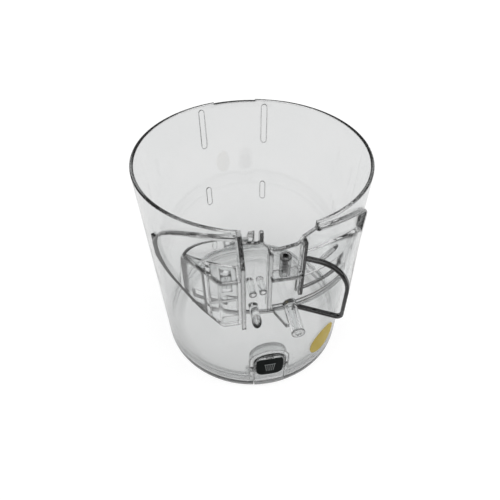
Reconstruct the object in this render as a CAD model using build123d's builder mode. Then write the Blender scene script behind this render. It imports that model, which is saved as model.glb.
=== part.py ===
"""Cyclone dust bin: a clear tapered tub with a hinged base lid and a press latch.

Millimetres. The origin is on the bin's axis at the underside of the base lid, +Z is up,
and the latch faces -Y. Angles are counted from -Y, positive towards +X. A reach is how far
a piece stands in front of the rim's radius.
"""
import os
from math import cos, hypot, radians, sin

from build123d import *

os.makedirs("parts", exist_ok=True)

# Bin body
bin_height = 161.0
rim_radius = 75.0
base_radius = 71.0
wall = 2.2
rim_round = 0.6
corner_radius = 4.0
parting_height = 17.0

# Rim: shallow dip at the back, stepped notch at the front
dip_half_width = 15.5
dip_depth = 1.0
notch_right = 21.0
notch_ledge_drop = 8.0
notch_floor_drop = 14.0
prong_x = -8.4
prong_width = 1.8

# Guide ribs outside the back wall
rib_angles = (-160.1, 162.5)
rib_width = 4.0
rib_proud = 1.4
upper_rib_drop = 4.0
upper_rib_length = 31.5
middle_rib_bottom = 71.0
middle_rib_length = 17.5
lower_rib_bottom = 18.5
lower_rib_length = 14.5

# Raised cheeks beside the notch: each a bar along the top, an end and a lower corner
cheek_start = 16.2
cheek_end = 61.5
cheek_proud = 2.4
cheek_edge_round = 1.8
cheek_top_drop = 0.6
cheek_slope_drop = 29.0
cheek_bar = 3.0
left_arch_side = 50.0
left_arch_round = 30.0
left_corner = 25.0
left_corner_round = 40.0
right_arch_side = 60.0
right_arch_round = 6.0
right_corner = 27.0
right_corner_round = 27.0

# Left pod on the cheek, its height measured from the pods' underside
sheet = 2.2
pod_drop = 62.0
pod_corner = 5.0
pod_edge_round = 0.6
left_height = 37.0
left_reach = 8.0
left_corner_x = -32.0
web_x = -37.0
lip_depth = 7.0
inner_shelf_rise = 12.0
inner_shelf_reach = -3.0
tab_span = (-31.0, -24.7)
tab_rise = 21.0
tab_height = 11.0
tab_reach = -1.0

# Air scoop on the right
scoop_height = 43.5
scoop_side = 37.0
scoop_reach = 16.0
scoop_root_reach = -4.0
scoop_round = 19.0
scoop_foot_round = 4.5
scoop_roof_start = 15.5
scoop_edge_round = 0.95

# Air windows through the wall, inside the pods, and a slanted slot over the right one
right_window = (10.0, 38.0)
right_window_rise = 11.0
right_window_height = 11.0
left_window = (-38.0, -22.0)
left_window_rise = 3.0
left_window_height = 7.0
slot_angle = 26.0
slot_rise = 32.0
slot_length = 13.0
slot_width = 4.6
slot_tilt = -68.0

# Fixings between the pods
fin_x = -20.0
fin_thickness = 2.4
fin_reach = 10.5
fin_overhang = 2.0
fin_shoulder_drop = 14.0
belt_drop = 3.0
belt_proud = 1.6
belt_thickness = 2.0
belt_edge_round = 0.6
belt_angle = 40.0
post_thickness = 2.4
post_reach = 3.5
centre_post_x = -4.0
centre_post_rise = 4.0
right_post_x = 14.0
right_post_rise = 14.0
tray_drop = 29.0
tray_thickness = 1.8
tray_reach = 6.5
ring_radius = 3.2
ring_bore = 1.7
ring_height = 14.0
ring_reach = 3.0
boss_x = 9.5
boss_rise = 1.0
boss_radius = 4.0
boss_bore = 1.6
boss_bore_depth = 20.0
boss_reach = 20.5
gusset_side_x = -1.2
gusset_side_reach = 3.7
gusset_tip_x = 3.7
gusset_reach = 14.7
peg_x = -12.5
peg_rise = 3.0
peg_radius = 2.8
peg_reach = 12.5
guide_pin_places = ((-14.6, 26.0), (-9.0, 27.0))
guide_pin_radius = 2.1
guide_pin_reach = 9.0

# Latch and the niche that takes it
latch_half_width = 11.0
latch_side_gap = 0.5
latch_thickness = 3.6
latch_proud = 0.4
latch_toe = 3.6
latch_top = 42.0
latch_room = 3.3
latch_top_gap = 3.0
niche_round = 11.0
niche_wall = 2.0
pivot_height = 27.0
pivot_radius = 1.0
pivot_inset = 0.6
knuckle_radius = 2.1
pin_clearance = 0.05
tooth_size = 1.6
tooth_height = 3.8
catch_gap = 0.5
catch_height = 2.0
pad_half_width = 9.6
pad_bottom = 18.8
pad_top = 38.6
pad_round = 4.5
pad_depth = 1.3
pad_fit = 0.08
pad_proud = 0.5

# Latch spring
spring_height = 38.0
spring_radius = 2.2
spring_wire = 0.5
spring_seat = 1.2
spring_gap = 0.05
spring_turns = 4

# Base lid, seal and hinge
lid_floor = 2.4
dish_corner = 9.6
seal_width = 1.7
seal_height = 2.1
seal_proud = 0.5
seal_lap = 0.2
seat_gap = 0.3
rim_band = 2.6
rim_band_height = 5.0
hinge_gap = 0.8
hinge_barrel = 3.6
hinge_pin_radius = 1.5
hinge_half_width = 9.0
ear_thickness = 5.6
ear_gap = 0.4
ear_height = 16.0

# Plain paper dot on the wall
dot_angle = 37.0
dot_height = 31.6
dot_radius = 13.5
dot_thickness = 0.2


def outer_radius(height):
    """Outside radius of the tapered wall at a height."""
    return base_radius + (rim_radius - base_radius) * height / bin_height


def around(angle, radius):
    """Plan point at an angle from -Y."""
    return (radius * sin(radians(angle)), -radius * cos(radians(angle)))


def in_front(reach):
    """Plan y of a front face that stands a reach outside the rim's radius."""
    return -rim_radius - reach


def wall_cone(inset, bottom, top):
    """Solid of the tapered wall, moved in by an inset."""
    with BuildPart() as cone:
        with BuildSketch(Plane.XZ):
            with BuildLine():
                Polyline(
                    (0, bottom),
                    (outer_radius(bottom) - inset, bottom),
                    (outer_radius(top) - inset, top),
                    (0, top),
                    close=True,
                )
            make_face()
        revolve(axis=Axis.Z)
    return cone.part


def wall_band(inset, proud, bottom, top):
    """Ring that follows the tapered wall, from inside its face to outside it."""
    with BuildPart() as band:
        with BuildSketch(Plane.XZ):
            with BuildLine():
                Polyline(
                    (outer_radius(bottom) - inset, bottom),
                    (outer_radius(bottom) + proud, bottom),
                    (outer_radius(top) + proud, top),
                    (outer_radius(top) - inset, top),
                    close=True,
                )
            make_face()
        revolve(axis=Axis.Z)
    return band.part


def envelope(grow):
    """Outer form of the closed bin, with its rounded base corner, grown outwards."""
    centre = outer_radius(corner_radius) - corner_radius
    arc_end = (centre + corner_radius + grow, corner_radius)
    rim_edge = (rim_radius + grow, bin_height)
    with BuildPart() as form:
        with BuildSketch(Plane.XZ):
            with BuildLine():
                Line((0, -grow), (centre, -grow))
                RadiusArc((centre, -grow), arc_end, -corner_radius - grow)
                Polyline(arc_end, rim_edge, (0, bin_height), (0, -grow))
            make_face()
        revolve(axis=Axis.Z)
    return form.part


def sector(start, end):
    """Plan wedge from the axis to far outside, between two angles."""
    with BuildSketch(mode=Mode.PRIVATE) as wedge:
        with BuildLine():
            Polyline((0, 0), around(start, far), around(end, far), close=True)
        make_face()
    add(wedge.sketch)


def block(x_span, y_span, z_span, mode=Mode.ADD):
    """Box between two corners, in the part being built."""
    spans = (x_span, y_span, z_span)
    with Locations(tuple((low + high) / 2 for low, high in spans)):
        Box(*(high - low for low, high in spans), mode=mode)


def plate(x, thickness, reach, bottom, top):
    """Upright plate across the wall's front, out to a reach."""
    block((x - thickness / 2, x + thickness / 2), (in_front(reach), behind), (bottom, top))


def rod(x, z, radius, reach):
    """Round rod along Y, from inside the wall out to a reach."""
    length = behind - in_front(reach)
    with Locations((x, in_front(reach) + length / 2, z)):
        Cylinder(radius, length, rotation=(90, 0, 0))


def cross_rod(y, z, radius, half_length, mode=Mode.ADD):
    """Round rod along X, centred on the bin's middle plane."""
    with Locations((0, y, z)):
        Cylinder(radius, 2 * half_length, rotation=(0, 90, 0), mode=mode)


def upright(half_width, bottom, top):
    """Upright rectangle in a front-view sketch, centred on the middle plane."""
    with Locations((0, (bottom + top) / 2)):
        Rectangle(2 * half_width, top - bottom)


def wall_face(angle, height):
    """Plane on the middle of the wall, facing out, with its x axis upwards."""
    foot = around(angle, outer_radius(height) - root)
    return Plane(origin=(*foot, height), x_dir=(0, 0, 1), z_dir=(*around(angle, 1), 0))


def seal_loop(grow, mode=Mode.ADD):
    """Plan outline along the tub's lower edge, in past the niche, grown outwards."""
    half_width = niche_half_width + niche_wall - seal_lap - grow
    back = niche_back + niche_wall - seal_lap - grow
    with BuildSketch(mode=Mode.PRIVATE) as loop:
        Circle(outer_radius(tub_bottom) - wall + seal_lap + grow)
        with Locations((0, back - rim_radius)):
            Rectangle(2 * half_width, 2 * rim_radius, mode=Mode.SUBTRACT)
    add(loop.sketch, mode=mode)


def seal_ring():
    """Plan outline of the seal and of its groove."""
    seal_loop(seal_width / 2)
    seal_loop(-seal_width / 2, Mode.SUBTRACT)


def cheek_top(y):
    """Height of a cheek's top edge at a plan y: level at the front, falling to the sides."""
    front = rim_radius + cheek_proud
    share = (y + front) / (front + around(cheek_end, front)[1])
    return bin_height - cheek_top_drop - cheek_slope_drop * share**2


def under_cheek_top(drop):
    """Solid under the right cheek's top curve, lowered by a drop."""
    start, middle, end = ((y, cheek_top(y) - drop) for y in (cheek_far, cheek_middle, cheek_near))
    with BuildPart() as under:
        with BuildSketch(Plane.YZ):
            with BuildLine():
                ThreePointArc(start, middle, end)
                Polyline(end, (cheek_near, 0), (cheek_far, 0), start)
            make_face()
        extrude(amount=far)
    return under.part


def past_corner(corner, corner_round):
    """Solid outside the right cheek's lower corner, to trim what stands on the cheek."""
    corner_start = (cheek_side - corner, pod_bottom)
    corner_end = (cheek_side, pod_bottom + corner)
    with BuildPart() as past:
        with BuildSketch(Plane.XZ):
            with BuildLine():
                RadiusArc(corner_start, corner_end, -corner_round)
                Polyline(corner_end, (far, corner_end[1]), (far, 0), (corner_start[0], 0), corner_start)
            make_face()
        extrude(amount=far)
    return past.part


def raised_cheek(arch_side, arch_round, corner, corner_round):
    """Right cheek with a rounded edge and lower corner, open under its bar as far as a side."""
    arch_top = bin_height - cheek_top_drop - cheek_bar
    with BuildPart() as arch:
        add(under_cheek_top(cheek_bar))
        with BuildSketch(Plane.XZ) as opening:
            with Locations((arch_side / 2, arch_top / 2)):
                Rectangle(arch_side, arch_top)
            fillet(opening.vertices().group_by(Axis.Y)[-1].sort_by(Axis.X)[-1:], arch_round)
        extrude(amount=far, mode=Mode.INTERSECT)
    with BuildPart() as cheek:
        add(wall_band(wall, cheek_proud, pod_bottom, bin_height))
        with BuildSketch(Plane.XY):
            sector(cheek_start, cheek_end)
        extrude(amount=bin_height, mode=Mode.INTERSECT)
        add(under_cheek_top(0), mode=Mode.INTERSECT)
        add(past_corner(corner, corner_round), mode=Mode.SUBTRACT)
        fillet(cheek.faces().sort_by(SortBy.AREA)[-1].edges(), cheek_edge_round)
        add(arch.part, mode=Mode.SUBTRACT)
    return cheek.part


# Places worked out from the sizes
far = 2 * rim_radius
behind = -rim_radius / 2
root = wall / 2
tub_bottom = parting_height
seal_top = tub_bottom - seat_gap
lid_top = seal_top - seal_proud
pod_bottom = bin_height - pod_drop
left_roof = pod_bottom + left_height
scoop_roof = pod_bottom + scoop_height
belt_height = pod_bottom - belt_drop
tray_height = bin_height - tray_drop
boss_height = pod_bottom + boss_rise
peg_height = pod_bottom + peg_rise
latch_back = latch_thickness - outer_radius(pivot_height)
pad_floor = pad_depth - outer_radius(pivot_height)
pivot_y = latch_back - pivot_inset
niche_back = latch_back + latch_room
niche_half_width = latch_half_width + latch_side_gap
niche_top = latch_top + latch_top_gap
hinge_y = outer_radius(tub_bottom) + hinge_gap + hinge_barrel
hinge_z = lid_top
core = wall_cone(root, 0, bin_height + wall)
bin_form = envelope(0)

# Cheeks: raised frames on the wall, open where the pods stand
cheek_side = around(cheek_end, rim_radius + cheek_proud)[0]
cheek_near = around(cheek_end, rim_radius)[1] + cheek_proud
cheek_far = -rim_radius - 2 * cheek_proud
cheek_middle = (cheek_far + cheek_near) / 2
with BuildPart() as right_cheek:
    add(raised_cheek(right_arch_side, right_arch_round, right_corner, right_corner_round))

with BuildPart() as left_cheek:
    add(raised_cheek(left_arch_side, left_arch_round, left_corner, left_corner_round))
    mirror(about=Plane.YZ, mode=Mode.REPLACE)

# Left pod: a hollow box on the left cheek, open below behind a lip
left_front = in_front(left_reach)
left_start = around(-cheek_end, outer_radius(pod_bottom) + cheek_proud)
skin_slope = (left_front - left_start[1]) / (left_corner_x - left_start[0])
web_front = left_start[1] + skin_slope * (web_x - left_start[0]) + sheet / 2
with BuildPart() as left_pod:
    with BuildSketch(Plane.XY.offset(pod_bottom)) as left_plan:
        with BuildLine():
            Polyline(
                left_start,
                (left_corner_x, left_front),
                (fin_x, left_front),
                (fin_x, behind),
                (left_start[0] / 2, left_start[1] / 2),
                close=True,
            )
        make_face()
        outer_corner = left_plan.vertices().sort_by_distance((left_corner_x, left_front, pod_bottom))
        fillet(outer_corner[:1], pod_corner)
    extrude(amount=left_height)
    fillet(left_pod.faces().sort_by(Axis.Z)[-1].edges(), pod_edge_round)
    with BuildSketch(Plane.XY.offset(pod_bottom)):
        offset(left_plan.sketch_local, amount=-sheet)
    extrude(amount=left_height - sheet, mode=Mode.SUBTRACT)
    web_span = (web_x - sheet / 2, web_x + sheet / 2)
    block(web_span, (web_front, behind), (pod_bottom, left_roof - sheet / 2))
    lip_span = (left_front + sheet / 2, left_front + lip_depth)
    block((left_corner_x, fin_x), lip_span, (pod_bottom, pod_bottom + sheet))
    shelf_top = pod_bottom + inner_shelf_rise
    block((web_x, fin_x), (in_front(inner_shelf_reach), behind), (shelf_top - sheet, shelf_top))
    tab_bottom = pod_bottom + tab_rise
    block(tab_span, (in_front(tab_reach), behind), (tab_bottom, tab_bottom + tab_height))
    left_trim = mirror(past_corner(left_corner, left_corner_round), about=Plane.YZ, mode=Mode.PRIVATE)
    add(left_trim, mode=Mode.SUBTRACT)

# Right scoop: a flattened duct that leaves the wall along its tangent, mouth to the front
right_start = around(cheek_end, outer_radius(pod_bottom) + cheek_proud)
scoop_front = in_front(scoop_reach)
scoop_root = in_front(scoop_root_reach)
scoop_width = hypot(scoop_side, scoop_front - scoop_root)
across = (scoop_side / scoop_width, (scoop_front - scoop_root) / scoop_width)
mouth = Plane(origin=(0, scoop_root, 0), x_dir=(*across, 0), z_dir=(across[1], -across[0], 0))
scoop_run = Vector(right_start[0] - scoop_side, right_start[1] - scoop_front, 0)
with BuildPart() as scoop:
    with BuildSketch(mouth) as mouth_outline:
        with BuildLine():
            Polyline(
                (0, pod_bottom),
                (scoop_width, pod_bottom),
                (scoop_width, scoop_roof),
                (scoop_roof_start, scoop_roof),
                (scoop_roof_start, pod_bottom + sheet),
                (0, pod_bottom + sheet),
                close=True,
            )
        make_face()
        fillet(mouth_outline.vertices().group_by(Axis.X)[-1].sort_by(Axis.Y)[:1], scoop_foot_round)
        fillet(mouth_outline.vertices().group_by(Axis.Y)[-1].sort_by(Axis.X)[-1:], scoop_round)
    extrude(amount=scoop_run.length, dir=scoop_run.normalized())
    with BuildSketch(mouth) as duct_outline:
        with Locations(((scoop_width - sheet) / 2, (pod_bottom + scoop_roof) / 2)):
            Rectangle(scoop_width - sheet, scoop_height - 2 * sheet)
        duct_side = duct_outline.vertices().group_by(Axis.X)[-1].sort_by(Axis.Y)
        fillet(duct_side[:1], scoop_foot_round - sheet)
        duct_roof = duct_outline.vertices().group_by(Axis.Y)[-1].sort_by(Axis.X)
        fillet(duct_roof[-1:], scoop_round - sheet)
    extrude(amount=far, dir=scoop_run.normalized(), mode=Mode.SUBTRACT)
    mouth_edges = scoop.faces().sort_by(Axis((0, 0, 0), mouth.z_dir))[-1].edges()
    fillet(mouth_edges.sort_by(SortBy.LENGTH)[2:], scoop_edge_round)

# Belt: a low ledge around the front, under the pods
with BuildPart() as belt:
    add(wall_band(wall, belt_proud, belt_height - belt_thickness / 2, belt_height + belt_thickness / 2))
    with BuildSketch(Plane.XY):
        sector(-belt_angle, belt_angle)
    extrude(amount=bin_height, mode=Mode.INTERSECT)
    fillet(belt.faces().sort_by(SortBy.AREA)[-1].edges(), belt_edge_round)

# Front: pods, fin, posts, tray and fixings, trimmed to the wall
with BuildPart() as front:
    add(left_cheek.part)
    add(right_cheek.part)
    add(left_pod.part)
    add(scoop.part)
    add(belt.part)
    fin_bottom = pod_bottom - fin_overhang
    fin_front = in_front(fin_reach)
    with BuildSketch(Plane.YZ.offset(fin_x - fin_thickness / 2)):
        with BuildLine():
            Polyline(
                (behind, fin_bottom),
                (fin_front, fin_bottom),
                (fin_front, bin_height - fin_shoulder_drop),
                (-rim_radius, bin_height),
                (behind, bin_height),
                close=True,
            )
        make_face()
    extrude(amount=fin_thickness)
    plate(centre_post_x, post_thickness, post_reach, pod_bottom + centre_post_rise, bin_height)
    plate(right_post_x, post_thickness, post_reach, pod_bottom + right_post_rise, bin_height)
    tray_width = right_post_x - centre_post_x
    tray_middle = (centre_post_x + right_post_x) / 2
    plate(tray_middle, tray_width, tray_reach, tray_height - tray_thickness, tray_height)
    with Locations((tray_middle - post_thickness / 2, in_front(ring_reach), tray_height + ring_height / 2)):
        Cylinder(ring_radius, ring_height)
        Cylinder(ring_bore, ring_height, mode=Mode.SUBTRACT)
    rod(boss_x, boss_height, boss_radius, boss_reach)
    with BuildSketch(Plane.XY.offset(pod_bottom)):
        with BuildLine():
            Polyline(
                (gusset_side_x, behind),
                (gusset_side_x, in_front(gusset_side_reach)),
                (gusset_tip_x, in_front(gusset_reach)),
                (boss_x, in_front(gusset_reach)),
                (boss_x, behind),
                close=True,
            )
        make_face()
    extrude(amount=sheet)
    rod(peg_x, peg_height, peg_radius, peg_reach)
    peg_front = in_front(peg_reach)
    with BuildSketch(Plane.YZ.offset(peg_x - 2 * peg_radius)):
        with BuildLine():
            Polyline(
                (peg_front, peg_height - peg_radius),
                (peg_front, peg_height + peg_radius),
                (peg_front + 2 * peg_radius, peg_height + peg_radius),
                close=True,
            )
        make_face()
    extrude(amount=4 * peg_radius, mode=Mode.SUBTRACT)
    for pin_x, pin_rise in guide_pin_places:
        rod(pin_x, pod_bottom + pin_rise, guide_pin_radius, guide_pin_reach)
    add(core, mode=Mode.SUBTRACT)

# Niche: pocket in the wall that takes the latch
with BuildPart() as niche:
    with BuildSketch(Plane.XZ.offset(-niche_back - niche_wall)) as niche_outline:
        upright(niche_half_width + niche_wall, tub_bottom, niche_top + niche_wall)
        fillet(niche_outline.vertices().group_by(Axis.Y)[-1], niche_round + niche_wall)
    extrude(amount=rim_radius)
    add(bin_form, mode=Mode.INTERSECT)

# Tub: one clear moulding
notch_left = fin_x + fin_thickness / 2
ledge = bin_height - notch_ledge_drop
notch_floor = bin_height - notch_floor_drop
windows = (
    (*right_window, right_window_rise, right_window_height),
    (*left_window, left_window_rise, left_window_height),
)
ribs = (
    (bin_height - upper_rib_drop - upper_rib_length, upper_rib_length),
    (middle_rib_bottom, middle_rib_length),
    (lower_rib_bottom, lower_rib_length),
)
with BuildPart() as tub:
    add(wall_band(wall, 0, tub_bottom, bin_height))
    fillet(tub.edges().group_by(Axis.Z)[-1], rim_round)
    add(front.part)
    add(niche.part)
    with BuildSketch(Plane.XZ):
        with BuildLine():
            Polyline(
                (notch_left, 2 * bin_height),
                (notch_left, ledge),
                (prong_x - prong_width, ledge),
                (prong_x, ledge + prong_width),
                (centre_post_x, notch_floor + prong_width),
                (centre_post_x + post_thickness, notch_floor),
                (right_post_x - post_thickness, notch_floor + prong_width),
                (right_post_x, ledge),
                (notch_right - 2 * prong_width, ledge + prong_width),
                (notch_right, ledge + 2 * prong_width),
                (notch_right, 2 * bin_height),
                close=True,
            )
        make_face()
    extrude(amount=far, mode=Mode.SUBTRACT)
    prong_span = (prong_x - prong_width / 2, prong_x + prong_width / 2)
    block(prong_span, (rim_round - rim_radius, wall - rim_radius), (ledge - wall, bin_height))
    dip_span = (-dip_half_width, dip_half_width)
    block(dip_span, (0, far), (bin_height - dip_depth, 2 * bin_height), Mode.SUBTRACT)
    for start, end, rise, height in windows:
        with BuildSketch(Plane.XY.offset(pod_bottom + rise)):
            sector(start, end)
            Circle(outer_radius(pod_bottom + rise + height) + sheet / 4, mode=Mode.INTERSECT)
        extrude(amount=height, mode=Mode.SUBTRACT)
    with BuildSketch(wall_face(slot_angle, pod_bottom + slot_rise)):
        SlotOverall(slot_length, slot_width, rotation=slot_tilt)
    extrude(amount=wall, both=True, mode=Mode.SUBTRACT)
    with BuildSketch(Plane.XZ.offset(-in_front(boss_reach))):
        with Locations((boss_x, boss_height)):
            Circle(boss_bore)
    extrude(amount=-boss_bore_depth, mode=Mode.SUBTRACT)
    with BuildSketch(Plane.XZ.offset(-niche_back)) as cavity_outline:
        upright(niche_half_width, 0, niche_top)
        fillet(cavity_outline.vertices().group_by(Axis.Y)[-1], niche_round)
    extrude(amount=rim_radius, mode=Mode.SUBTRACT)
    for rib_angle in rib_angles:
        for bottom, length in ribs:
            with BuildSketch(wall_face(rib_angle, bottom + length / 2)):
                SlotOverall(length, rib_width)
            extrude(amount=root + rib_proud)
    for side in (-1, 1):
        with BuildSketch(Plane.YZ.offset(side * (hinge_half_width + ear_gap))):
            with BuildLine():
                Polyline(
                    (outer_radius(tub_bottom) - root, tub_bottom),
                    (hinge_y + hinge_barrel, tub_bottom),
                    (hinge_y + hinge_barrel, hinge_z + hinge_barrel),
                    (outer_radius(tub_bottom) - root, tub_bottom + ear_height),
                    close=True,
                )
            make_face()
            with Locations((hinge_y, hinge_z)):
                Circle(hinge_barrel)
        extrude(amount=side * ear_thickness)
    ear_end = hinge_half_width + ear_gap + ear_thickness
    cross_rod(hinge_y, hinge_z, hinge_pin_radius + pin_clearance, ear_end, Mode.SUBTRACT)
    pivot_end = niche_half_width + niche_wall
    cross_rod(pivot_y, pivot_height, pivot_radius + pin_clearance, pivot_end, Mode.SUBTRACT)
tub.part.label = "tub"
export_step(tub.part, "parts/tub.step")

# Latch: a clear rocker whose face follows the wall, with a tooth at its toe
tooth_back = latch_back + tooth_size
tooth_top = latch_toe + tooth_height
latch_form = envelope(latch_proud)
with BuildPart() as latch:
    with BuildSketch(Plane.XZ.offset(-tooth_back)) as latch_outline:
        upright(latch_half_width, latch_toe, latch_top)
        fillet(latch_outline.vertices().group_by(Axis.Y)[-1], niche_round - latch_top_gap)
    extrude(amount=rim_radius)
    add(latch_form, mode=Mode.INTERSECT)
    latch_span = (-latch_half_width, latch_half_width)
    block(latch_span, (latch_back, tooth_back), (tooth_top, latch_top), Mode.SUBTRACT)
    cross_rod(pivot_y, pivot_height, knuckle_radius, latch_half_width)
    with BuildSketch(Plane.XZ.offset(-pad_floor)) as pocket_outline:
        upright(pad_half_width + pad_fit, pad_bottom - pad_fit, pad_top + pad_fit)
        fillet(pocket_outline.vertices(), pad_round + pad_fit)
    extrude(amount=rim_radius, mode=Mode.SUBTRACT)
    cross_rod(pivot_y, pivot_height, pivot_radius + pin_clearance, latch_half_width, Mode.SUBTRACT)
    with Locations((0, latch_back - spring_seat / 2, spring_height)):
        seat_radius = spring_radius + spring_wire
        Cylinder(seat_radius, spring_seat, rotation=(90, 0, 0), mode=Mode.SUBTRACT)
latch.part.label = "latch"
export_step(latch.part, "parts/latch.step")

# Pad: dark inlay in the latch's face
pad_form = envelope(latch_proud + pad_proud)
with BuildPart() as latch_pad:
    with BuildSketch(Plane.XZ.offset(-pad_floor)) as pad_outline:
        upright(pad_half_width, pad_bottom, pad_top)
        fillet(pad_outline.vertices(), pad_round)
    extrude(amount=rim_radius)
    add(pad_form, mode=Mode.INTERSECT)
latch_pad.part.label = "latch_pad"
export_step(latch_pad.part, "parts/latch_pad.step")

# Pins: steel, held in the tub
with BuildPart() as latch_pin:
    cross_rod(pivot_y, pivot_height, pivot_radius, pivot_end)
latch_pin.part.label = "latch_pin"
export_step(latch_pin.part, "parts/latch_pin.step")

with BuildPart() as hinge_pin:
    cross_rod(hinge_y, hinge_z, hinge_pin_radius, ear_end)
hinge_pin.part.label = "hinge_pin"
export_step(hinge_pin.part, "parts/hinge_pin.step")

# Spring: small coil between the niche's back and the latch's upper arm
coil_start = latch_back - spring_seat + spring_wire / 2 + spring_gap
coil_run = niche_back - spring_wire / 2 - spring_gap - coil_start
with BuildPart() as latch_spring:
    with BuildLine() as coil:
        Helix(
            pitch=coil_run / spring_turns,
            height=coil_run,
            radius=spring_radius,
            center=(0, coil_start, spring_height),
            direction=(0, 1, 0),
        )
    with BuildSketch(Plane(origin=coil.line @ 0, z_dir=coil.line % 0)):
        Circle(spring_wire / 2)
    sweep(path=coil.line)
latch_spring.part.label = "latch_spring"
export_step(latch_spring.part, "parts/latch_spring.step")

# Dish: the space inside the base lid, in past the latch's slot
dish_side = lid_floor + dish_corner
dish_radius = outer_radius(dish_side) - wall
arc_start = (dish_radius - dish_corner, lid_floor)
arc_end = (dish_radius, dish_side)
slot_half = niche_half_width + niche_wall
with BuildPart() as dish:
    with BuildSketch(Plane.XZ):
        with BuildLine():
            Line((0, lid_floor), arc_start)
            RadiusArc(arc_start, arc_end, -dish_corner)
            Polyline(arc_end, (dish_radius, bin_height), (0, bin_height), (0, lid_floor))
        make_face()
    revolve(axis=Axis.Z)
    slot_depth = (-far, niche_back + niche_wall)
    block((-slot_half, slot_half), slot_depth, (0, 2 * bin_height), Mode.SUBTRACT)

# Base lid: shallow dish with a sealing rim, a slot for the latch and a hinge barrel
with BuildPart() as base_lid:
    add(bin_form)
    block((-far, far), (-far, far), (0, lid_top), Mode.INTERSECT)
    add(dish.part, mode=Mode.SUBTRACT)
    with BuildSketch(Plane.XY.offset(lid_top - rim_band_height)):
        seal_loop(0)
        seal_loop(-rim_band, Mode.SUBTRACT)
    extrude(amount=rim_band_height)
    block((-niche_half_width, niche_half_width), (-far, niche_back), (0, bin_height), Mode.SUBTRACT)
    with BuildSketch(Plane.XY.offset(lid_top)):
        seal_ring()
    extrude(amount=seal_proud - seal_height, mode=Mode.SUBTRACT)
    catch_span = (tooth_back + catch_gap, niche_back + niche_wall / 2)
    catch_rise = (tooth_top, tooth_top + catch_height)
    block((-pad_half_width, pad_half_width), catch_span, catch_rise)
    cross_rod(hinge_y, hinge_z, hinge_barrel, hinge_half_width)
    web_depth = (outer_radius(lid_top) - root, hinge_y)
    block((-hinge_half_width, hinge_half_width), web_depth, (hinge_z - hinge_barrel, hinge_z))
    cross_rod(hinge_y, hinge_z, hinge_pin_radius + pin_clearance, hinge_half_width, Mode.SUBTRACT)
base_lid.part.label = "base_lid"
export_step(base_lid.part, "parts/base_lid.step")

# Seal: pale soft ring in the lid's groove
with BuildPart() as base_seal:
    with BuildSketch(Plane.XY.offset(seal_top - seal_height)):
        seal_ring()
    extrude(amount=seal_height)
base_seal.part.label = "base_seal"
export_step(base_seal.part, "parts/base_seal.step")

# Dot: plain paper sticker on the wall
dot_form = wall_cone(-dot_thickness, 0, bin_height)
dot_seat = wall_cone(0, 0, bin_height)
with BuildPart() as paper_dot:
    with BuildSketch(wall_face(dot_angle, dot_height)):
        Circle(dot_radius)
    extrude(amount=2 * wall)
    add(dot_form, mode=Mode.INTERSECT)
    add(dot_seat, mode=Mode.SUBTRACT)
paper_dot.part.label = "paper_dot"
export_step(paper_dot.part, "parts/paper_dot.step")
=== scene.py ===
"""Looks of the cyclone dust bin: clear plastic, dark pad, steel pins, pale seal, plain paper dot."""
from math import atan2, cos, hypot, radians, sin

import bpy
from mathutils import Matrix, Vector


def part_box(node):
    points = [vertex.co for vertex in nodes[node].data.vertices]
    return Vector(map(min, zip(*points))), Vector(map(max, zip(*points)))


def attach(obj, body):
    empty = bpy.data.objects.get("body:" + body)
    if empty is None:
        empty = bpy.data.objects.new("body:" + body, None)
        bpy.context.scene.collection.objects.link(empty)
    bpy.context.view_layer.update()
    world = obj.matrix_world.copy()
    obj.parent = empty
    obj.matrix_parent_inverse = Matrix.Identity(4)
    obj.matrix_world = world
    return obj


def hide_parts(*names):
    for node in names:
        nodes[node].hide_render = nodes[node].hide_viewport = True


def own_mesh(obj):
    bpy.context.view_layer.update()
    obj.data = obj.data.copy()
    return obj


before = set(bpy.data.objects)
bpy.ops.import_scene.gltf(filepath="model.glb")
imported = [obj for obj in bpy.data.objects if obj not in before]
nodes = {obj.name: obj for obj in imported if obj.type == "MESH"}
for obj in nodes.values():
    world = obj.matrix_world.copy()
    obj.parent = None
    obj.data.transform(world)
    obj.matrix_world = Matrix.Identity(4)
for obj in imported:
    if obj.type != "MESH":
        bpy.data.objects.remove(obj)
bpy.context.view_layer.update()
scene = bpy.context.scene

# Photograph's frame and lens, in pixels
PICTURE = 500
FOCAL_PIXELS = 432.3
CENTRE_PIXEL = 251.91
SENSOR = 36.0

# Camera's place and look
CAMERA_PLACE = Vector((-0.04205, -0.2314, 0.305))
LOOK_ALONG = Vector((0.1788, 0.9839, 0.0))
LOOK_DOWN = radians(44.21)
CAMERA_NEAR = 0.01

# World and floor: light levels, and the floor's reach, size and drop in metres
WORLD_LOW = 0.05
WORLD_HIGH = 0.55
WORLD_HIGH_FROM = 0.9
WORLD_SEEN = 1.0
WORLD_THROUGH = 0.7
FLOOR_SEEN = 0.84
FLOOR_NEAR = 0.3
FLOOR_FAR = 0.9
FLOOR_THROUGH = 0.60
FLOOR_MATTE = 0.2
FLOOR_SIZE = 6.0
FLOOR_DROP = 0.0004

# Lamps: the point that they face, in metres, and their power
LAMPS_AIM = (0, 0, 0.08)
OVERHEAD_POWER = 6.0
SIDE_POWER = 4.0

# Light's bounces
BOUNCES = 32
GLOSSY_BOUNCES = 12

# Places of the mix node's colours among its sockets
FIRST_COLOUR = 6
SECOND_COLOUR = 7
MIXED_COLOUR = 2

# Moulded surface: limits of its haze and rub marks, the marks' stretch, turn and depth, and detail
HAZE_LIMITS = (0.35, 0.7)
RUB_LIMITS = (0.58, 0.74)
RUB_STRETCH = (1.0, 1.0, 0.08)
RUB_TURN = (radians(24), radians(17), 0)
RUB_DEPTH = 0.04
RUB_DETAIL = 3.0
RUB_GRAIN = 0.65
WAVE_DETAIL = 1.0

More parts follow.
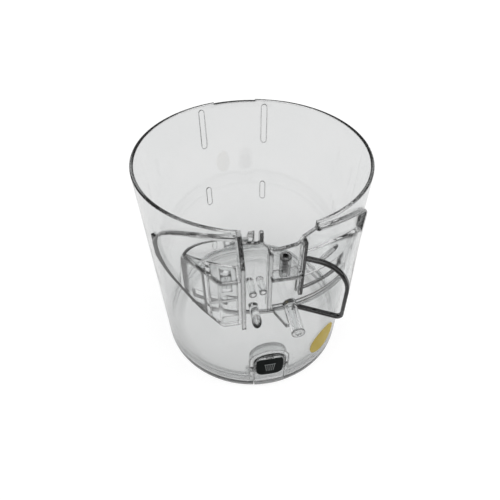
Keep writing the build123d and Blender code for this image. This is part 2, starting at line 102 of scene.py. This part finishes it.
# Clear plastic: its index, roughness, bump and rub marks
PLASTIC_INDEX = 1.55
CLEAR_SMOOTH = 0.015
CLEAR_RUBBED = 0.16
CLEAR_SCUFFED = 0.2
CLEAR_BUMP = 0.25
CLEAR_BUMP_DEPTH = 0.0004
CLEAR_RUB_SIZE = 900.0

# Opaque finishes: bump and rub marks
OPAQUE_BUMP = 0.4
OPAQUE_RUB_SIZE = 1400.0

# Painted shade in dark strips along edges: depth and limits, the rim's pale crown kept free of it, and
# the softer strips at the foot
EDGE_SAMPLES = 6
EDGE_DEPTH = 0.002
EDGE_AWAY = 0.72
EDGE_FULL = 0.56
RIM_CROWN = 0.1607
FOOT_SOFT = 0.016
FOOT_CRISP = 0.026
FOOT_SHARE = 0.25

# Scuffed zones, darkened in colour (painted shade on the wall and the lid): heights of full and no
# scuff on wall and lever, radii of none and full on the lid
WALL_SCUFF_AND_SHADE = (0.015, 0.075)
LEVER_ROUGH_DARK = (0.004, 0.016)
CORNER_SCUFF_AND_SHADE = (0.0585, 0.0625)

# Wall's cone, and the cheeks' and the scoop's thick edges that stand on it, in metres
WALL_FOOT = 0.071
WALL_SLOPE = 4.0 / 161.0
CHEEK_STEP = 0.0004
LEFT_LOOP_X = -0.0318
LEFT_LOOP_Z = 0.1317
LEFT_LOOP_RADIUS = 0.0315
LEFT_LOOP_SIDE = -0.034
RIGHT_BAND = 0.0655
MOUTH_ROOT = WALL_FOOT
MOUTH_SIDE = 0.037
MOUTH_FRONT = 0.091
MOUTH_DEPTH = 0.0026
MOUTH_SLACK = 0.0002
MOUTH_CLEAR = 0.004

# Colours
CLEAR = (0.95, 0.955, 0.955)
DEEP = (0.93, 0.94, 0.94)
# Darker tint: painted shade low on the tub's wall, and the same darker tint at the lever's foot
DARKENED_TINT = (0.88, 0.89, 0.89)
# Painted shade on the lid's rounded corner
PAINTED_CORNER_SHADE = (0.74, 0.75, 0.75)
# Painted dark shade along the clear plastic's edges, and a paler painted shade along the lid's edges
PAINTED_EDGE_SHADE = (0.002, 0.002, 0.002)
PALE_PAINTED_EDGE_SHADE = (0.42, 0.43, 0.43)
PAD_BLACK = (0.004, 0.006, 0.0055)
PAD_WORN = (0.012, 0.015, 0.014)
PAD_GLOSS = 0.04
SEAL_PALE = (0.72, 0.74, 0.74)
SEAL_WORN = (0.62, 0.64, 0.64)
STEEL = (0.55, 0.55, 0.55)
STEEL_WORN = (0.42, 0.42, 0.42)
PAPER_YELLOW = (0.76, 0.57, 0.09)
PAPER_WORN = (0.66, 0.48, 0.07)
BAR_PALE = (0.27, 0.285, 0.28)
BAR_WORN = (0.17, 0.18, 0.175)

# Radii of the softened edges, in metres
WALL_EDGE = 0.0009
LEVER_EDGE = 0.0007

# Pale bars on the pad, in metres
BAR_COUNT = 5
BAR_WIDTH = 0.0005
BAR_TOP_PITCH = 0.00165
BAR_FOOT_PITCH = 0.00125
BAR_FOOT = 0.0238
BAR_TOP = 0.0312
BAR_SUNK = 0.0001
BAR_PROUD = 0.00015
BAR_DEPTH = BAR_SUNK + BAR_PROUD
BAR_EDGE = BAR_DEPTH / 4
BAR_EDGE_STEPS = 2
CROSS_BAR_GAP = 0.0005
CROSS_BAR_HEIGHT = 0.0008

# Spring's copy: merging distance in metres
COIL_MERGE = 0.000002


def new_group(name, inputs, outputs):
    """Shader node group with its named inputs and outputs, and its two end nodes."""
    group = bpy.data.node_groups.new(name, "ShaderNodeTree")
    for label, kind, value in inputs:
        socket = group.interface.new_socket(label, in_out="INPUT", socket_type=kind)
        socket.default_value = value
    for label, kind in outputs:
        group.interface.new_socket(label, in_out="OUTPUT", socket_type=kind)
    start = group.nodes.new("NodeGroupInput")
    end = group.nodes.new("NodeGroupOutput")
    return group, start, end


def new_material(name):
    """Empty node material with its output node."""
    material = bpy.data.materials.new(name)
    material.use_nodes = True
    material.node_tree.nodes.clear()
    output = material.node_tree.nodes.new("ShaderNodeOutputMaterial")
    return material, material.node_tree, output


def feed(tree, socket, value):
    """Links a socket to another one, or sets its plain value."""
    if isinstance(value, bpy.types.NodeSocket):
        tree.links.new(value, socket)
    else:
        socket.default_value = value


def noise(tree, vector, scale, detail, roughness=0.5):
    """Noise texture on a vector."""
    node = tree.nodes.new("ShaderNodeTexNoise")
    node.inputs["Detail"].default_value = detail
    node.inputs["Roughness"].default_value = roughness
    feed(tree, node.inputs["Scale"], scale)
    feed(tree, node.inputs["Vector"], vector)
    return node.outputs["Fac"]


def map_range(tree, value, low, high, to_low, to_high):
    """Clamped map of a value from one range to another."""
    node = tree.nodes.new("ShaderNodeMapRange")
    node.inputs["From Min"].default_value = low
    node.inputs["From Max"].default_value = high
    node.inputs["To Min"].default_value = to_low
    node.inputs["To Max"].default_value = to_high
    feed(tree, node.inputs["Value"], value)
    return node.outputs["Result"]


def combine(tree, operation, first, second, third=0.0):
    """Math node on sockets or plain numbers."""
    node = tree.nodes.new("ShaderNodeMath")
    node.operation = operation
    for socket, value in zip(node.inputs, (first, second, third)):
        feed(tree, socket, value)
    return node.outputs["Value"]


def colour_mix(tree, mask, first, second):
    """Mix of two colours, sockets or plain, by a mask."""
    node = tree.nodes.new("ShaderNodeMix")
    node.data_type = "RGBA"
    for place, colour in ((FIRST_COLOUR, first), (SECOND_COLOUR, second)):
        feed(tree, node.inputs[place], (*colour, 1) if isinstance(colour, tuple) else colour)
    feed(tree, node.inputs["Factor"], mask)
    return node.outputs[MIXED_COLOUR]


def bump(tree, height, strength, distance, normal=None):
    """Bump on a height, over another normal where there is one."""
    node = tree.nodes.new("ShaderNodeBump")
    node.inputs["Strength"].default_value = strength
    node.inputs["Distance"].default_value = distance
    feed(tree, node.inputs["Height"], height)
    if normal:
        feed(tree, node.inputs["Normal"], normal)
    return node.outputs["Normal"]


# Moulded surface: slow waves, fine rub marks and a faint haze
def make_moulded_surface():
    """Group that gives a haze mask, a rub mask and a height over the surface."""
    inputs = (
        ("Vector", "NodeSocketVector", (0, 0, 0)),
        ("Wave Size", "NodeSocketFloat", 30.0),
        ("Rub Size", "NodeSocketFloat", 900.0),
        ("Rub Amount", "NodeSocketFloat", 0.3),
    )
    outputs = (
        ("Haze", "NodeSocketFloat"),
        ("Rub", "NodeSocketFloat"),
        ("Height", "NodeSocketFloat"),
    )
    group, start, end = new_group("moulded_surface", inputs, outputs)
    waves = noise(group, start.outputs["Vector"], start.outputs["Wave Size"], WAVE_DETAIL)
    stretch = group.nodes.new("ShaderNodeMapping")
    stretch.inputs["Scale"].default_value = RUB_STRETCH
    stretch.inputs["Rotation"].default_value = RUB_TURN
    feed(group, stretch.inputs["Vector"], start.outputs["Vector"])
    rubs = noise(group, stretch.outputs["Vector"], start.outputs["Rub Size"], RUB_DETAIL, RUB_GRAIN)
    rub_mask = map_range(group, rubs, *RUB_LIMITS, 0.0, 1.0)
    rub = combine(group, "MULTIPLY", rub_mask, start.outputs["Rub Amount"])
    feed(group, end.inputs["Haze"], map_range(group, waves, *HAZE_LIMITS, 0.0, 1.0))
    feed(group, end.inputs["Rub"], rub)
    feed(group, end.inputs["Height"], combine(group, "MULTIPLY_ADD", rub, -RUB_DEPTH, waves))
    return group


moulded_surface = make_moulded_surface()


def object_vector(tree):
    """Object coordinates of the piece."""
    return tree.nodes.new("ShaderNodeTexCoord").outputs["Object"]


def place_surface(tree, wave_size, rub_size, rub_amount):
    """Places the moulded surface group in a material."""
    node = tree.nodes.new("ShaderNodeGroup")
    node.node_tree = moulded_surface
    node.inputs["Wave Size"].default_value = wave_size
    node.inputs["Rub Size"].default_value = rub_size
    node.inputs["Rub Amount"].default_value = rub_amount
    feed(tree, node.inputs["Vector"], object_vector(tree))
    return node.outputs


def place_parts(tree):
    """Distance from the bin's axis, and height, of a point of the surface."""
    split = tree.nodes.new("ShaderNodeSeparateXYZ")
    feed(tree, split.inputs["Vector"], object_vector(tree))
    flat = tree.nodes.new("ShaderNodeVectorMath")
    flat.operation = "MULTIPLY"
    flat.inputs[1].default_value = (1, 1, 0)
    feed(tree, flat.inputs[0], object_vector(tree))
    length = tree.nodes.new("ShaderNodeVectorMath")
    length.operation = "LENGTH"
    feed(tree, length.inputs[0], flat.outputs["Vector"])
    return length.outputs["Value"], split.outputs["Z"]


def low_zone(tree, full, clear):
    """Mask that is full up to a height and fades out at another."""
    return map_range(tree, place_parts(tree)[1], full, clear, 1.0, 0.0)


def outer_zone(tree, clear, full):
    """Mask that starts at a radius and is full from another one out."""
    return map_range(tree, place_parts(tree)[0], clear, full, 0.0, 1.0)


def rounded_edges(tree, radius):
    """Normal that is rounded at the edges."""
    rounded = tree.nodes.new("ShaderNodeBevel")
    rounded.samples = EDGE_SAMPLES
    rounded.inputs["Radius"].default_value = radius
    return rounded.outputs["Normal"]


def edge_shade_strips(tree):
    """Mask of painted shade in strips along edges and rounds, where little plastic lies under the
    surface.
    """
    depth = tree.nodes.new("ShaderNodeAmbientOcclusion")
    depth.samples = EDGE_SAMPLES
    depth.inside = True
    depth.only_local = True
    depth.inputs["Distance"].default_value = EDGE_DEPTH
    return map_range(tree, depth.outputs["AO"], EDGE_AWAY, EDGE_FULL, 0.0, 1.0)


def cheek_edges(tree, foot):
    """Mask of painted shade on the raised cheeks' outer edges, with each point's radius brought down to
    the foot.
    """
    split = tree.nodes.new("ShaderNodeSeparateXYZ")
    feed(tree, split.inputs["Vector"], object_vector(tree))
    raised = combine(tree, "GREATER_THAN", foot, WALL_FOOT + CHEEK_STEP)
    front = combine(tree, "LESS_THAN", split.outputs["Y"], 0.0)
    loop = tree.nodes.new("ShaderNodeCombineXYZ")
    feed(tree, loop.inputs["X"], combine(tree, "SUBTRACT", split.outputs["X"], LEFT_LOOP_X))
    feed(tree, loop.inputs["Z"], combine(tree, "SUBTRACT", split.outputs["Z"], LEFT_LOOP_Z))
    away = tree.nodes.new("ShaderNodeVectorMath")
    away.operation = "LENGTH"
    feed(tree, away.inputs[0], loop.outputs["Vector"])
    outside = combine(tree, "GREATER_THAN", away.outputs["Value"], LEFT_LOOP_RADIUS)
    leftwards = combine(tree, "LESS_THAN", split.outputs["X"], LEFT_LOOP_SIDE)
    left = combine(tree, "MULTIPLY", outside, leftwards)
    right = combine(tree, "GREATER_THAN", split.outputs["X"], RIGHT_BAND)
    sides = combine(tree, "MULTIPLY", front, combine(tree, "MAXIMUM", left, right))
    return combine(tree, "MULTIPLY", raised, sides)


def mouth_edge(tree, foot):
    """Mask of painted shade on the lip around the scoop's mouth, clear of the wall."""
    width = hypot(MOUTH_SIDE, MOUTH_FRONT - MOUTH_ROOT)
    faces = Vector((MOUTH_ROOT - MOUTH_FRONT, -MOUTH_SIDE, 0)) / width
    plane = faces.dot(Vector((0, -MOUTH_ROOT, 0)))
    ahead = tree.nodes.new("ShaderNodeVectorMath")
    ahead.operation = "DOT_PRODUCT"
    ahead.inputs[1].default_value = faces
    feed(tree, ahead.inputs[0], object_vector(tree))
    middle = plane - MOUTH_DEPTH / 2
    reach = MOUTH_DEPTH / 2 + MOUTH_SLACK
    lip = combine(tree, "COMPARE", ahead.outputs["Value"], middle, reach)
    clear_of_wall = combine(tree, "GREATER_THAN", foot, WALL_FOOT + MOUTH_CLEAR)
    return combine(tree, "MULTIPLY", lip, clear_of_wall)


def thick_edge_shade(tree):
    """Mask of painted shade on the edges that look dark through their thickness: the cheeks' and the
    scoop's.
    """
    radius, height = place_parts(tree)
    foot = combine(tree, "MULTIPLY_ADD", height, -WALL_SLOPE, radius)
    return combine(tree, "MAXIMUM", cheek_edges(tree, foot), mouth_edge(tree, foot))


def painted_shade_edges_mask(tree, thick):
    """Mask of the painted edge shade: strips, none on the rim's crown and soft at the foot, and thick
    ones.
    """
    height = place_parts(tree)[1]
    below_crown = combine(tree, "LESS_THAN", height, RIM_CROWN)
    above_foot = map_range(tree, height, FOOT_SOFT, FOOT_CRISP, FOOT_SHARE, 1.0)
    strips = combine(tree, "MULTIPLY", edge_shade_strips(tree), below_crown)
    strips = combine(tree, "MULTIPLY", strips, above_foot)
    if thick:
        strips = combine(tree, "MAXIMUM", strips, thick(tree))
    return strips


def clear_plastic(
    name, darkened_colour, edge_shade_colour, zone, edge_radius, wave_size, rub_amount, thick=None
):
    """Clear moulded plastic: faint waves, rub marks, a scuffed and darkened zone, and painted dark
    shade along rounded edges.
    """
    material, tree, output = new_material(name)
    surface = place_surface(tree, wave_size, CLEAR_RUB_SIZE, rub_amount)
    scuff_and_darkening = zone(tree)
    normal = rounded_edges(tree, edge_radius)
    shader = tree.nodes.new("ShaderNodeBsdfPrincipled")
    shader.inputs["Transmission Weight"].default_value = 1.0
    shader.inputs["Metallic"].default_value = 0.0
    shader.inputs["IOR"].default_value = PLASTIC_INDEX
    tint = colour_mix(tree, surface["Haze"], CLEAR, DEEP)
    # Zone's darker colour: painted shade on the tub's lower wall and on the lid's corner
    tint = colour_mix(tree, scuff_and_darkening, tint, darkened_colour)
    # Painted dark shade along the edges, mixed into the base colour
    edges = painted_shade_edges_mask(tree, thick)
    feed(tree, shader.inputs["Base Color"], colour_mix(tree, edges, tint, edge_shade_colour))
    rubbed = map_range(tree, surface["Rub"], 0.0, 1.0, CLEAR_SMOOTH, CLEAR_RUBBED)
    scuffed = map_range(tree, scuff_and_darkening, 0.0, 1.0, 0.0, CLEAR_SCUFFED)
    feed(tree, shader.inputs["Roughness"], combine(tree, "MAXIMUM", rubbed, scuffed))
    waves = bump(tree, surface["Height"], CLEAR_BUMP, CLEAR_BUMP_DEPTH, normal)
    feed(tree, shader.inputs["Normal"], waves)
    feed(tree, output.inputs["Surface"], shader.outputs["BSDF"])
    return material


def opaque(
    name, colour, worn_colour, smooth, rubbed, wave_size, rub_amount, bump_depth, metal=0.0, gloss=0.5
):
    """Opaque finish with colour, roughness and height from the surface group."""
    material, tree, output = new_material(name)
    surface = place_surface(tree, wave_size, OPAQUE_RUB_SIZE, rub_amount)
    shader = tree.nodes.new("ShaderNodeBsdfPrincipled")
    shader.inputs["Metallic"].default_value = metal
    shader.inputs["Specular IOR Level"].default_value = gloss
    feed(tree, shader.inputs["Base Color"], colour_mix(tree, surface["Rub"], colour, worn_colour))
    feed(tree, shader.inputs["Roughness"], map_range(tree, surface["Haze"], 0.0, 1.0, smooth, rubbed))
    feed(tree, shader.inputs["Normal"], bump(tree, surface["Height"], OPAQUE_BUMP, bump_depth))
    feed(tree, output.inputs["Surface"], shader.outputs["BSDF"])
    return material


def lower_wall(tree):
    """Zone of the tub near its lower edge: scuffed, and faintly darkened with painted shade."""
    return low_zone(tree, *WALL_SCUFF_AND_SHADE)


def base_corner(tree):
    """Zone of the lid on its rounded corner: scuffed, and greyed with painted shade."""
    return outer_zone(tree, *CORNER_SCUFF_AND_SHADE)


def lever_foot(tree):
    """Rougher, darker zone of the lever, below the pad."""
    return low_zone(tree, *LEVER_ROUGH_DARK)


# Finishes of the nodes
finishes = {
    # Clear pieces: painted shade along their edges, and painted shade darkening the tub's lower wall
    # and the lid's corner
    "tub": clear_plastic(
        "clear_wall",
        DARKENED_TINT,
        PAINTED_EDGE_SHADE,
        zone=lower_wall,
        edge_radius=WALL_EDGE,
        wave_size=30,
        rub_amount=0.25,
        thick=thick_edge_shade,
    ),
    "base_lid": clear_plastic(
        "clear_base",
        PAINTED_CORNER_SHADE,
        PALE_PAINTED_EDGE_SHADE,
        zone=base_corner,
        edge_radius=WALL_EDGE,
        wave_size=34,
        rub_amount=0.4,
    ),
    "latch": clear_plastic(
        "clear_lever",
        DARKENED_TINT,
        PAINTED_EDGE_SHADE,
        zone=lever_foot,
        edge_radius=LEVER_EDGE,
        wave_size=60,
        rub_amount=0.25,
    ),
    "latch_pad": opaque(
        "black_pad",
        PAD_BLACK,
        PAD_WORN,
        smooth=0.5,
        rubbed=0.62,
        wave_size=120,
        rub_amount=0.5,
        bump_depth=0.0003,
        gloss=PAD_GLOSS,
    ),
    "base_seal": opaque(
        "pale_seal",
        SEAL_PALE,
        SEAL_WORN,
        smooth=0.5,
        rubbed=0.65,
        wave_size=90,
        rub_amount=0.6,
        bump_depth=0.0003,
    ),
    "hinge_pin": opaque(
        "drawn_steel",
        STEEL,
        STEEL_WORN,
        smooth=0.22,
        rubbed=0.34,
        wave_size=200,
        rub_amount=0.7,
        bump_depth=0.0001,
        metal=1.0,
    ),
    "paper_dot": opaque(
        "yellow_paper",
        PAPER_YELLOW,
        PAPER_WORN,
        smooth=0.45,
        rubbed=0.6,
        wave_size=160,
        rub_amount=0.7,
        bump_depth=0.0002,
    ),
}
finishes["latch_pin"] = finishes["hinge_pin"]
finishes["latch_spring"] = finishes["hinge_pin"]

for name, material in finishes.items():
    mesh = nodes[name].data
    mesh.materials.clear()
    mesh.materials.append(material)


# Pad's mark: plain raised bars under a cross bar, like a small grating
pad_low, pad_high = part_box("latch_pad")
PAD_FACE_FOOT = -pad_low[1] - WALL_SLOPE * pad_high[2]


def pad_face(x, z):
    """Plan y of the pad's curved face at a place across it and a height."""
    radius = PAD_FACE_FOOT + WALL_SLOPE * z
    return -(radius * radius - x * x) ** 0.5


def raised_bar(name, foot, top, width):
    """Thin bar with rounded edges from foot to top on the pad's face, each an x and a height."""
    middle_x = (foot[0] + top[0]) / 2
    middle_z = (foot[1] + top[1]) / 2
    bpy.ops.object.select_all(action="DESELECT")
    bpy.ops.mesh.primitive_cube_add(size=1.0)
    bar = bpy.context.object
    bar.name = name
    bar.dimensions = (width, BAR_DEPTH, hypot(top[0] - foot[0], top[1] - foot[1]))
    bar.rotation_euler = (
        atan2(WALL_SLOPE, 1.0),
        atan2(top[0] - foot[0], top[1] - foot[1]),
        0.0,
    )
    bar.location = (middle_x, pad_face(middle_x, middle_z) + BAR_SUNK - BAR_DEPTH / 2, middle_z)
    bpy.ops.object.transform_apply(location=True, rotation=True, scale=True)
    bpy.ops.object.mode_set(mode="EDIT")
    bpy.ops.mesh.select_all(action="SELECT")
    bpy.ops.mesh.bevel(offset=BAR_EDGE, segments=BAR_EDGE_STEPS)
    bpy.ops.object.mode_set(mode="OBJECT")
    return bar


def make_pad_bars():
    """Bars that fan out upwards, and a cross bar of short lengths over them, joined into one piece."""
    half = (BAR_COUNT - 1) / 2
    cross_low = BAR_TOP + CROSS_BAR_GAP
    cross_high = cross_low + CROSS_BAR_HEIGHT
    bars = []
    for place in range(BAR_COUNT):
        foot = ((place - half) * BAR_FOOT_PITCH, BAR_FOOT)
        top = ((place - half) * BAR_TOP_PITCH, BAR_TOP)
        bars.append(raised_bar(f"bar_{place}", foot, top, BAR_WIDTH))
        cross_foot = (top[0], cross_low)
        cross_top = (top[0], cross_high)
        bars.append(raised_bar(f"cross_{place}", cross_foot, cross_top, BAR_TOP_PITCH))
    bpy.ops.object.select_all(action="DESELECT")
    for bar in bars:
        bar.select_set(True)
    bpy.context.view_layer.objects.active = bars[0]
    bpy.ops.object.join()
    mark = bpy.context.object
    mark.name = "pad_bars"
    finish = opaque(
        "pale_bars",
        BAR_PALE,
        BAR_WORN,
        smooth=0.5,
        rubbed=0.65,
        wave_size=150,
        rub_amount=0.7,
        bump_depth=0.0001,
    )
    mark.data.materials.append(finish)
    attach(mark, "latch")


make_pad_bars()


# Spring: a copy of its coil, carried by the tub
def make_pressed_coil():
    """Coil in the spring's place: a copy with merged doubles that stands in for the hidden spring."""
    bpy.ops.object.select_all(action="DESELECT")
    nodes["latch_spring"].select_set(True)
    bpy.context.view_layer.objects.active = nodes["latch_spring"]
    bpy.ops.object.duplicate()
    coil = bpy.context.object
    coil.name = "spring_coil"
    bpy.ops.object.mode_set(mode="EDIT")
    bpy.ops.mesh.select_all(action="SELECT")
    bpy.ops.mesh.remove_doubles(threshold=COIL_MERGE)
    bpy.ops.object.mode_set(mode="OBJECT")
    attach(coil, "tub")
    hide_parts("latch_spring")
    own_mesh(coil)


make_pressed_coil()


# Floor: plain and pale, white to the camera, with the bin's own shadow
def make_floor():
    """Large plain floor just under the bin."""
    bpy.ops.object.select_all(action="DESELECT")
    bpy.ops.mesh.primitive_plane_add(size=FLOOR_SIZE, location=(0, 0, -FLOOR_DROP))
    floor = bpy.context.object
    floor.name = "floor"
    material, tree, output = new_material("pale_floor")
    path = tree.nodes.new("ShaderNodeLightPath").outputs
    through = combine(tree, "MAXIMUM", path["Is Glossy Ray"], path["Is Transmission Ray"])
    level = map_range(tree, through, 0.0, 1.0, 0.0, FLOOR_THROUGH)
    brightness = map_range(tree, place_parts(tree)[0], FLOOR_NEAR, FLOOR_FAR, FLOOR_SEEN, 1.0)
    seen = combine(tree, "MULTIPLY", path["Is Camera Ray"], brightness)
    glow = tree.nodes.new("ShaderNodeEmission")
    feed(tree, glow.inputs["Strength"], combine(tree, "MAXIMUM", level, seen))
    matte = tree.nodes.new("ShaderNodeBsdfDiffuse")
    matte.inputs["Color"].default_value = (FLOOR_MATTE, FLOOR_MATTE, FLOOR_MATTE, 1)
    both = tree.nodes.new("ShaderNodeAddShader")
    feed(tree, both.inputs[0], glow.outputs["Emission"])
    feed(tree, both.inputs[1], matte.outputs["BSDF"])
    feed(tree, output.inputs["Surface"], both.outputs["Shader"])
    floor.data.materials.append(material)


make_floor()


# World: white to the camera, pale through clear plastic, and lighter above than at the sides
def make_world():
    """Studio surround that darkens from overhead to the horizon."""
    world = bpy.data.worlds.new("studio")
    scene.world = world
    world.use_nodes = True
    tree = world.node_tree
    tree.nodes.clear()
    output = tree.nodes.new("ShaderNodeOutputWorld")
    place = tree.nodes.new("ShaderNodeTexCoord")
    split = tree.nodes.new("ShaderNodeSeparateXYZ")
    feed(tree, split.inputs["Vector"], place.outputs["Generated"])
    level = map_range(tree, split.outputs["Z"], 0.0, WORLD_HIGH_FROM, WORLD_LOW, WORLD_HIGH)
    path = tree.nodes.new("ShaderNodeLightPath").outputs
    seen = combine(tree, "MULTIPLY", path["Is Camera Ray"], WORLD_SEEN)
    through = combine(tree, "MULTIPLY", path["Is Transmission Ray"], WORLD_THROUGH)
    background = tree.nodes.new("ShaderNodeBackground")
    strength = combine(tree, "MAXIMUM", level, combine(tree, "MAXIMUM", seen, through))
    feed(tree, background.inputs["Strength"], strength)
    feed(tree, output.inputs["Surface"], background.outputs["Background"])
    background.inputs["Color"].default_value = (1, 1, 1, 1)


make_world()


# Lamps: softboxes above and at both sides
def softbox(name, place, width, height, power):
    """Rectangular studio lamp that faces the bin, and isn't seen through the plastic."""
    lamp = bpy.data.lights.new(name, "AREA")
    lamp.shape = "RECTANGLE"
    lamp.size = width
    lamp.size_y = height
    lamp.energy = power
    lamp_object = bpy.data.objects.new(name, lamp)
    scene.collection.objects.link(lamp_object)
    lamp_object.visible_transmission = False
    lamp_object.location = place
    lamp_object.rotation_euler = (Vector(LAMPS_AIM) - Vector(place)).to_track_quat("-Z", "Y").to_euler()


softbox("overhead", (0.0, -0.15, 1.1), width=0.9, height=0.9, power=OVERHEAD_POWER)
softbox("left_side", (-0.9, -0.4, 0.6), width=0.5, height=0.8, power=SIDE_POWER)
softbox("right_side", (0.9, -0.3, 0.7), width=0.5, height=0.8, power=SIDE_POWER)


# Camera at the photograph's angle
def make_camera():
    """Camera at the fitted place, with the fitted lens."""
    camera = bpy.data.cameras.new("camera")
    camera.sensor_width = SENSOR
    camera.lens = FOCAL_PIXELS / PICTURE * SENSOR
    camera.shift_x = (PICTURE / 2 - CENTRE_PIXEL) / PICTURE
    camera.clip_start = CAMERA_NEAR
    camera_object = bpy.data.objects.new("camera", camera)
    scene.collection.objects.link(camera_object)
    look = LOOK_ALONG.normalized() * cos(LOOK_DOWN) - Vector((0, 0, sin(LOOK_DOWN)))
    camera_object.location = CAMERA_PLACE
    camera_object.rotation_euler = look.to_track_quat("-Z", "Y").to_euler()
    scene.camera = camera_object


make_camera()

scene.view_settings.view_transform = "Standard"
scene.cycles.max_bounces = BOUNCES
scene.cycles.transmission_bounces = BOUNCES
scene.cycles.glossy_bounces = GLOSSY_BOUNCES
